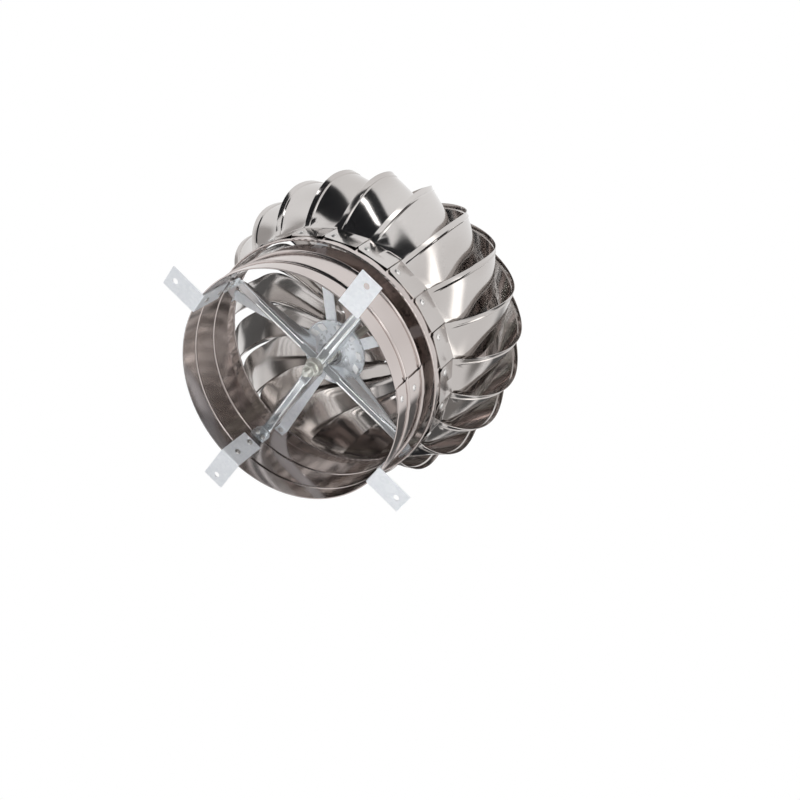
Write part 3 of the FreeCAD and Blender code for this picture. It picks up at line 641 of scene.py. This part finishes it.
ear_swing, ear_half = 20.5, 4.5 * MM
ear_root, ear_tip = Vector((31 * MM, 0, 122.75 * MM)), Vector((41 * MM, 0, 117.3 * MM))
ear_widths = ((0, 1), (0.8, 1), (0.9, 0.95), (0.97, 0.85), (1, 0.7))
disc_steps = 96
disc_profile = [
    (12, 122.4), (12.4, 122), (14.2, 122), (15.05, 121), (15.05, 113.3), (15.4, 113), (16.3, 113),
    (16.6, 113.4), (16.6, 119), (17.2, 121), (18.8, 122), (22, 122), (22.8, 121.6), (23.6, 121.2),
    (25.4, 121.2), (26.2, 121.6), (27, 122), (41, 122), (42, 121.7), (42.5, 121), (42.5, 119.7),
    (42.8, 119.5), (43.6, 119.5), (44, 119.9), (44, 122), (43.6, 123.1), (42.8, 123.5), (27, 123.5),
    (25.6, 122.7), (23.4, 122.7), (22, 123.5), (12.5, 123.5), (12, 123.1)]


def lathe(name, profile, steps, material, crease=35):
    """A piece turned about the rotor's axis from radius and height pairs in millimetres."""
    loops = []
    for step in range(steps):
        loops.append([polar(radius * MM, step * 360 / steps, height * MM)
                      for radius, height in profile])
    return skin(name, loops, material, ring=True, crease=crease)


def ear_loops(azimuth):
    """Sections of an ear from its root in the disc to its rounded tip."""
    run = (ear_tip - ear_root).normalized()
    thick = Vector((-run.z, 0, run.x)) * strut_sheet / 2
    spin = Matrix.Rotation(math.radians(azimuth), 3, "Z")
    loops = []
    for share, width in ear_widths:
        base = ear_root.lerp(ear_tip, share)
        aside = Vector((0, ear_half * width, 0))
        under, over = base - thick, base + thick
        loops.append([spin @ point for point in (
            under - aside, under + aside, over + aside, over - aside)])
    return loops


spider_zinc = galvanised(
    "spider_zinc", (0.84, 0.87, 0.90, 1), (0.64, 0.67, 0.71, 1), 0.22, 0.3, 0.8)
# Painted highlight: the disc's ears get a near-white, almost non-metallic copy of its zinc, so that
# they show bright as if catching the light.
ear_zinc_painted_bright = galvanised("ear_zinc_painted_bright", (1, 1, 1, 1), (0.92, 0.94, 0.96, 1), 0.3, 0.05, 0.6)
disc = lathe("spider_disc_pressing", disc_profile, disc_steps, spider_zinc)
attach(disc, "rotor")
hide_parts("spider_disc")
ears = skins("spider_disc_ears", [ear_loops(azimuth + side * ear_swing)
                                  for azimuth in strut_azimuths for side in (-1, 1)], ear_zinc_painted_bright)
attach(ears, "rotor")
dress([f"spider_strut_{number}" for number in range(1, 6)], zinc_steel, strut_edge)
spider_spots = []
for azimuth in strut_azimuths:
    strut_top = polar(strut_rivet_radius, azimuth, strut_level + strut_sheet)
    spider_spots.append((strut_top, Vector((0, 0, 1))))
    spider_spots.append((polar(strut_face, azimuth, strut_foot_level), polar(-1, azimuth)))
rivet_group("spider_rivets", "rotor", spider_spots)

# Vanes: twenty-two blades cut and rolled from polished stainless sheet. Each has a flat
# foot riveted to the ring, a hemmed lip with a pressed rib beside it, and a flat top tab.

vane_count, vane_phase = 22, -93
pitch = 360 / vane_count
vane_sheet = 0.8 * MM
foot_face, foot_low = 161.1 * MM, 94 * MM
fold_level, belly_level, tab_level = 130 * MM, 217 * MM, 344.2 * MM
fold_radius = foot_face / math.cos(math.radians(pitch / 2))
belly_radius, lip_top_radius = 210 * MM, 134 * MM
lip_lead, lip_sweep = 2.5, 33
belly_width, recede = 70 * MM, math.radians(36)
cap_radius, tab_inner = 117 * MM, 102 * MM
vane_gap, vane_wedge, cap_play = 0.8 * MM, 4 * MM, 1 * MM
fold_round, fold_part = 1 * MM, 0.015
foot_stations = (
    (foot_low, 3.2 * MM), (94.8 * MM, 2.6 * MM), (98.8 * MM, 0), (109 * MM, 0),
    (fold_level - fold_round, 0))
low_steps, high_steps, normal_step = 14, 18, 0.02

# Across a vane, in millimetres from its lip: the run, the lift, and whether the sheet
# lies flat (0), is lifted by the hem (1), or rises to the rib's flank (2) or top (3).
lip_section = [
    (0, 0.1, 1), (0.3, 0.8, 1), (5.6, 0.8, 0), (6.2, 0.8, 0), (6.8, 0.8, 2),
    (7.5, 0.8, 3), (8.2, 0.8, 2), (9.0, 0.8, 0)]
inside_section = [
    (9.0, 0, 0), (8.2, 0, 2), (7.5, 0, 3), (6.8, 0, 2), (6.2, 0, 0), (5.6, 0, 0), (0.3, 0, 1)]
edge_lift, rib_rise, flank_share = 1.4 * MM, 1.2 * MM, 0.55
face_start, face_end = 9 * MM, 6 * MM
tail_start, tail_round, tail_drop = 5.6 * MM, 0.3 * MM, 1.2 * MM
crown = 1.2 * MM
front_shares, back_shares = (0.15, 0.3, 0.45, 0.6, 0.75, 0.9, 1), (0.75, 0.5, 0.25)
tab_shares = (0.08, 0.5, 1)


def arc_through(reach, rise):
    """Radius of an arc that bulges by reach over a rise, and the angle it turns."""
    arc = (reach ** 2 + rise ** 2) / (2 * reach)
    return arc, math.asin(rise / arc)


low_arc, low_end = arc_through(belly_radius - fold_radius, belly_level - fold_level)
high_arc, high_end = arc_through(belly_radius - lip_top_radius, tab_level - belly_level)


def lip_frame(part):
    """Lip point and its directions, from the fold (-1) over the belly (0) to the cap (1)."""
    arc, angle = (low_arc, part * low_end) if part < 0 else (high_arc, part * high_end)
    radius = belly_radius - arc * (1 - math.cos(angle))
    height = belly_level + arc * math.sin(angle)
    azimuth = lip_lead * (1 - part ** 2) if part < 0 else lip_lead - lip_sweep * part ** 3
    outward = polar(math.cos(angle), azimuth, math.sin(angle))
    upward = polar(-math.sin(angle), azimuth, math.cos(angle))
    return polar(radius, azimuth, height), polar(1, azimuth + 90), outward, upward


fold_tail = polar(fold_radius, pitch - math.degrees(vane_gap / fold_radius), fold_level)
cap_tail = polar(cap_radius + cap_play,
                 lip_lead - lip_sweep + pitch - math.degrees(vane_wedge / cap_radius), tab_level)


def vane_line(part):
    """The straight line across a vane, from its lip to its tail edge."""
    edge, corner = (-1, fold_tail) if part < 0 else (1, cap_tail)
    lip, around, outward, upward = lip_frame(edge)
    step = corner - lip
    along, fall = step.dot(around), -step.dot(outward)
    ends = (math.hypot(along, fall), math.atan2(fall, along), step.dot(upward))
    shares = (abs(part) ** 3 if part < 0 else part ** 2, part ** 2, part ** 2)
    width, fall, rise = (
        middle + (end - middle) * share
        for middle, end, share in zip((belly_width, recede, 0), ends, shares))
    lip, around, outward, upward = lip_frame(part)
    inset = outward * (width * math.sin(fall))
    return lip, lip + around * (width * math.cos(fall)) - inset + upward * rise


def vane_normal(part):
    """The outward normal of a vane at a part of its length."""
    below = vane_line(max(part - normal_step, -1))
    above = vane_line(min(part + normal_step, 1))
    lip, tail = vane_line(part)
    along = (above[0] + above[1]) - (below[0] + below[1])
    return (tail - lip).cross(along).normalized()


def mitre(first, second):
    """The direction that keeps a sheet's thickness round a fold between two normals."""
    return (first + second) / (1 + first.dot(second))


def vane_loop(lip, tail, upright, hem, rib, bulge):
    """Closed section of the sheet across a vane, with its hem, rib and slight crown."""
    width = (tail - lip).length
    across = (tail - lip) / width
    rises = (0, hem * edge_lift, rib * rib_rise * flank_share, rib * rib_rise)
    outside = [(run * MM, lift * MM + rises[kind]) for run, lift, kind in lip_section]
    inside = [(run * MM, lift * MM + rises[kind]) for run, lift, kind in inside_section]
    face, drop = width - face_start - face_end, hem * tail_drop
    for share in front_shares:
        outside.append((face_start + face * share, vane_sheet))
    outside += [(width - tail_start, vane_sheet), (width - tail_round, vane_sheet - drop)]
    back = [(width, vane_sheet / 2 - drop), (width - tail_round, -drop), (width - tail_start, 0)]
    for share in back_shares:
        back.append((face_start + face * share, 0))
    return [lip + across * run + upright * (lift + bulge * crown * math.sin(math.pi * run / width))
            for run, lift in outside + back + inside]


def fade(value, start, end):
    """0 before start, 1 after end, smooth between."""
    share = min(max((value - start) / (end - start), 0), 1)
    return share * share * (3 - 2 * share)


def vane_loops():
    """Every section of a vane, from the bottom of its foot to the end of its tab."""
    facing = polar(1, pitch / 2)
    level = Vector((0, 0, 1))
    corner, far_corner = vane_line(-1)
    loops = []
    for height, inset in foot_stations:
        drop = level * (height - fold_level)
        edge = (far_corner - corner).normalized() * inset
        loops.append(vane_loop(corner + drop + edge, far_corner + drop, facing, 0, 0, 0))
    for step in range(-low_steps, high_steps + 1):
        part = max(step / low_steps if step < 0 else step / high_steps, fold_part - 1)
        lip, tail = vane_line(part)
        upright = vane_normal(part)
        if step == high_steps:
            upright = mitre(level, upright)
        hem = fade(part, -1, -0.93) * (1 - fade(part, 0.94, 1))
        rib = fade(part, -1, -0.85) * (1 - fade(part, 0.85, 0.98))
        bulge = fade(part, -1, -0.7) * (1 - part ** 4)
        loops.append(vane_loop(lip, tail, upright, hem, rib, bulge))
    start, stop = lip_lead - lip_sweep, lip_lead - lip_sweep + pitch
    stop -= math.degrees(vane_gap / tab_inner)
    near, far = vane_line(1)
    for share in tab_shares:
        loops.append(vane_loop(near.lerp(polar(tab_inner, start, tab_level), share),
                               far.lerp(polar(tab_inner, stop, tab_level), share), level, 0, 0, 0))
    return loops


# The dark colour is that of the painted reflection streaks.
vane_stainless = polished_stainless(
    "vane_stainless", (0.63, 0.605, 0.59, 1), (0.41, 0.375, 0.355, 1), (12, 12, 1), 0.11)
plain_loops = vane_loops()
for number in range(1, vane_count + 1):
    vane = skin(f"vane_{number:02d}_sheet", plain_loops, vane_stainless, crease=28)
    vane.data.transform(Matrix.Rotation(math.radians(vane_phase + (number - 1) * pitch), 4, "Z"))
    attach(vane, "rotor")
    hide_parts(f"vane_{number:02d}")

foot_rivet_level, foot_rivet_inset = 106 * MM, 9 * MM
foot_front = foot_face + vane_sheet
foot_rivet_aside = foot_rivet_inset - foot_front * math.tan(math.radians(pitch / 2))
foot_spots = []
for number in range(vane_count):
    azimuth = vane_phase + (number + 0.5) * pitch
    spot = polar(foot_front, azimuth, foot_rivet_level) + polar(foot_rivet_aside, azimuth + 90)
    foot_spots.append((spot, polar(1, azimuth)))
rivet_group("vane_foot_rivets", "rotor", foot_spots)

# Cap: a pressed stainless dome with a flat middle. Its flange and a flat clamp ring
# below hold the vanes' tabs between them, with a rivet through each.

cap_flange_top, cap_top = 346 * MM, 370 * MM
cap_rivet_radius, cap_rivet_turn = 109 * MM, vane_phase + lip_lead - lip_sweep
cap_profile = [
    (7, 369), (64, 369), (67.5, 368.7), (70, 367.2), (96.5, 347.6), (99, 345.8), (101.5, 345),
    (116.4, 345), (117, 345.5), (116.4, 346), (102, 346), (100, 346.6), (97.2, 348.5), (70.8, 368),
    (68.2, 369.6), (64.4, 370), (50, 370), (48.6, 369.6), (47.2, 370), (7, 370)]
cap_steps = 132

cap = lathe("cap_pressing", cap_profile, cap_steps, stainless)
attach(cap, "rotor")
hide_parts("cap_dome")
dress(["cap_clamp_ring"], stainless)
rivet_group("cap_rivets", "rotor", [
    (polar(cap_rivet_radius, cap_rivet_turn + (number + 0.5) * pitch, cap_flange_top),
     Vector((0, 0, 1))) for number in range(vane_count)])

# Upper bearing housing: a turned and plated cup that hangs the rotor on the upper
# bearing. Four cross-recessed screws hold it under the cap.

housing_edge = 0.3 * MM
dress(["upper_bearing_housing"], plated, housing_edge)
screw_radius, screw_head, screw_rise = 23.5 * MM, 3.6 * MM, 1.8 * MM
screw_profile = [
    (1, 0), (1, 0.25), (0.95, 0.5), (0.86, 0.72), (0.74, 0.88), (0.62, 0.96), (0.58, 0.97),
    (0.45, 0.99), (0.3, 1), (0.15, 1), (0.05, 1)]
recess_half, recess_reach, recess_depth = 0.14 * screw_head, 0.6, 0.9 * MM


def screw_loops(azimuth):
    """Rays round a domed screw head, from its rim to its cross recess."""
    middle = polar(screw_radius, azimuth, cap_top)
    loops = []
    for share, rise in screw_profile:
        loop = []
        for degrees in range(0, 360, 6):
            spot = polar(share * screw_head, degrees + 3)
            arm = min(abs(spot.x), abs(spot.y)) < recess_half
            deep = recess_depth if arm and share < recess_reach else 0
            loop.append(middle + spot + Vector((0, 0, rise * screw_rise - deep)))
        loops.append(loop)
    return loops


screws = skins("housing_screws_heads", [screw_loops(45 + number * 90) for number in range(4)],
               plated, crease=30)
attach(screws, "rotor")
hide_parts("housing_screws")

# Floor, light and camera: a plain pale floor, seen only from above, a white room, soft
# lamps, and soft-edged cards that only the metal mirrors. The camera looks up into the
# collar, as in the photograph.


def board_share(finish, fade_end):
    """How much of a board shows: all of it in the middle, nothing at the edges."""
    round_fade = finish.node("ShaderNodeTexGradient", {"gradient_type": "QUADRATIC_SPHERE"},
                             {"Vector": finish.place}, "Fac")
    return finish.ramp(round_fade, 0, fade_end)


def show_through(finish, share):
    """Mix a finish's shader, by a share, with a clear one."""
    clear = finish.node("ShaderNodeBsdfTransparent")
    solid = Wire(finish.tree, finish.shader.outputs[0])
    mixed = finish.node("ShaderNodeMixShader", None, {0: share, 1: clear, 2: solid})
    feed(finish.tree, finish.tree.nodes["Material Output"].inputs["Surface"], mixed)
    return finish.material


def pale_floor():
    """A white floor that fades out at its edges and is clear when seen from below."""
    finish = Finish("pale_floor")
    finish.surface(Base_Color=(0.9, 0.9, 0.9, 1), Roughness=0.8)
    below = finish.node("ShaderNodeNewGeometry", output="Backfacing")
    return show_through(finish, board_share(finish, floor_fade) * (1 - below))


def flat_board(name, material):
    """A square of two by two metres about its own middle."""
    mesh = bpy.data.meshes.new(name)
    mesh.from_pydata([(-1, -1, 0), (1, -1, 0), (1, 1, 0), (-1, 1, 0)], [], [(0, 1, 2, 3)])
    mesh.materials.append(material)
    return bpy.data.objects.new(name, mesh)


floor_half, floor_sink, floor_fade = 3.0, 0.5 * MM, 0.5
floor = flat_board("floor", pale_floor())
bpy.context.scene.collection.objects.link(floor)
floor.location = (0, 0, -floor_sink)
floor.scale = (floor_half, floor_half, 1)
floor.visible_shadow = False
floor.visible_glossy = False
floor.visible_diffuse = False

room_glow, full_white = 0.7, 1.0
world = bpy.data.worlds.new("white_room")
world.use_nodes = True
bpy.context.scene.world = world
room = world.node_tree.nodes["Background"]
room.inputs["Color"].default_value = (1, 1, 1, 1)
path = world.node_tree.nodes.new("ShaderNodeLightPath")
seen = Wire(world.node_tree, path.outputs["Is Camera Ray"])
seen = seen + Wire(world.node_tree, path.outputs["Is Glossy Ray"])
seen = seen + Wire(world.node_tree, path.outputs["Is Transmission Ray"])
seen = seen.maths("MINIMUM", seen, full_white)
feed(world.node_tree, room.inputs["Strength"], seen * (full_white - room_glow) + room_glow)

ventilator_middle = Vector((0, 0, 180 * MM))


def aimed(thing, place):
    """Put a lamp or card at a place, turned to the middle of the ventilator."""
    thing.location = place
    thing.rotation_euler = (Vector(place) - ventilator_middle).to_track_quat("Z", "Y").to_euler()
    bpy.context.scene.collection.objects.link(thing)


def soft_lamp(name, place, width, height, watts, mirrored=False, spread=180):
    """A soft rectangular lamp, which polished metal mirrors only where that is asked."""
    light = bpy.data.lights.new(name, "AREA")
    light.shape = "RECTANGLE"
    light.size, light.size_y = width, height
    light.energy = watts
    light.spread = math.radians(spread)
    lamp = bpy.data.objects.new(name, light)
    lamp.visible_glossy = mirrored
    aimed(lamp, place)


def card(name, place, width, height, board):
    """A soft-edged card, which only the metal reflects."""
    made = flat_board(name, board)
    aimed(made, place)
    made.scale = (width / 2, height / 2, 1)
    made.visible_camera = False
    made.visible_diffuse = False
    made.visible_shadow = False


def soft_board(name, deep, pale, fade_end, glow=0.0):
    """Faintly mottled board that fades out to clear at its edges."""
    finish = Finish(name)
    mottle = finish.noise(finish.place, mottle_scale, 2.0)
    tone = finish.blend(mottle, deep, pale)
    finish.surface(Base_Color=tone, Roughness=0.9)
    if glow:
        finish.surface(Emission_Color=tone, Emission_Strength=glow)
    return show_through(finish, board_share(finish, fade_end))


mottle_scale, warm_white = 3.0, (1, 0.99, 0.97, 1)
card_black = soft_board("card_black", (0.009, 0.010, 0.012, 1), (0.012, 0.014, 0.018, 1), 0.03)
card_grey = soft_board("card_grey", (0.12, 0.12, 0.12, 1), (0.15, 0.15, 0.15, 1), 0.2)
card_mid = soft_board("card_mid", (0.28, 0.27, 0.26, 1), (0.33, 0.32, 0.31, 1), 0.3)
card_pale = soft_board("card_pale", (0.50, 0.48, 0.47, 1), (0.60, 0.58, 0.57, 1), 0.4)
glow_core = soft_board("glow_core", warm_white, warm_white, 0.5, 1.75)
glow_broad = soft_board("glow_broad", warm_white, warm_white, 0.5, 1.3)
card("card_left", (-1.14, -1.66, 0.4), 2.9, 2.45, card_black)
card("card_under", (-0.95, -1.05, -1.45), 3.3, 3.2, card_black)
card("card_back", (0.5, 2.0, 0.9), 2.8, 1.6, card_black)
card("card_rear", (-0.5, 2.1, -0.3), 3.2, 2.0, card_black)
card("card_low_back", (-0.3, 1.15, -1.8), 2.0, 1.8, card_grey)
card("card_far_right", (1.3, 1.1, 1.9), 2.4, 2.1, card_grey)
card("card_right", (2.1, 0.5, 0.2), 1.3, 2.1, card_mid)
card("card_right_rear", (1.85, 1.2, 0.3), 1.2, 2.1, card_grey)
card("card_far_left", (-2.2, 0.35, 0.4), 2.2, 2.2, card_pale)
card("glow_front_broad", (1.75, -1.55, 0.3), 2.6, 1.8, glow_broad)
card("glow_front_core", (0.55, -1.92, 0.2), 1.3, 1.4, glow_core)

soft_lamp("lamp_over", (-0.6, -0.9, 2.2), 1.4, 1.4, 12)
soft_lamp("lamp_right", (1.9, -1.2, 0.6), 0.3, 1.5, 1.8)
soft_lamp("lamp_under", (0.9, -1.2, -1.6), 1.0, 1.0, 12)
soft_lamp("lamp_low_strip", (0.26, -1.28, -1.5), 0.5, 0.25, 1.6, mirrored=True)
soft_lamp("lamp_hub", (0.2, -0.5, -1.4), 0.15, 0.15, 0.06, spread=14)
soft_lamp("strip_lamp", (-0.62, -1.46, 0.44), 0.42, 0.17, 0.8, mirrored=True)

camera = bpy.data.objects.new("camera", bpy.data.cameras.new("camera"))
bpy.context.scene.collection.objects.link(camera)
bpy.context.scene.camera = camera
camera.data.lens = 46.9
eye = Vector((161.87, -807.38, -947.16)) * MM
aim = Vector((107.9, -67.0, 55.3)) * MM
upright = Vector((-0.697, -0.594, 0.401))
look = (aim - eye).normalized()
side = look.cross(upright).normalized()
camera.matrix_world = Matrix((side, side.cross(look), -look)).transposed().to_4x4()
camera.location = eye
bpy.context.scene.view_settings.view_transform = "Standard"
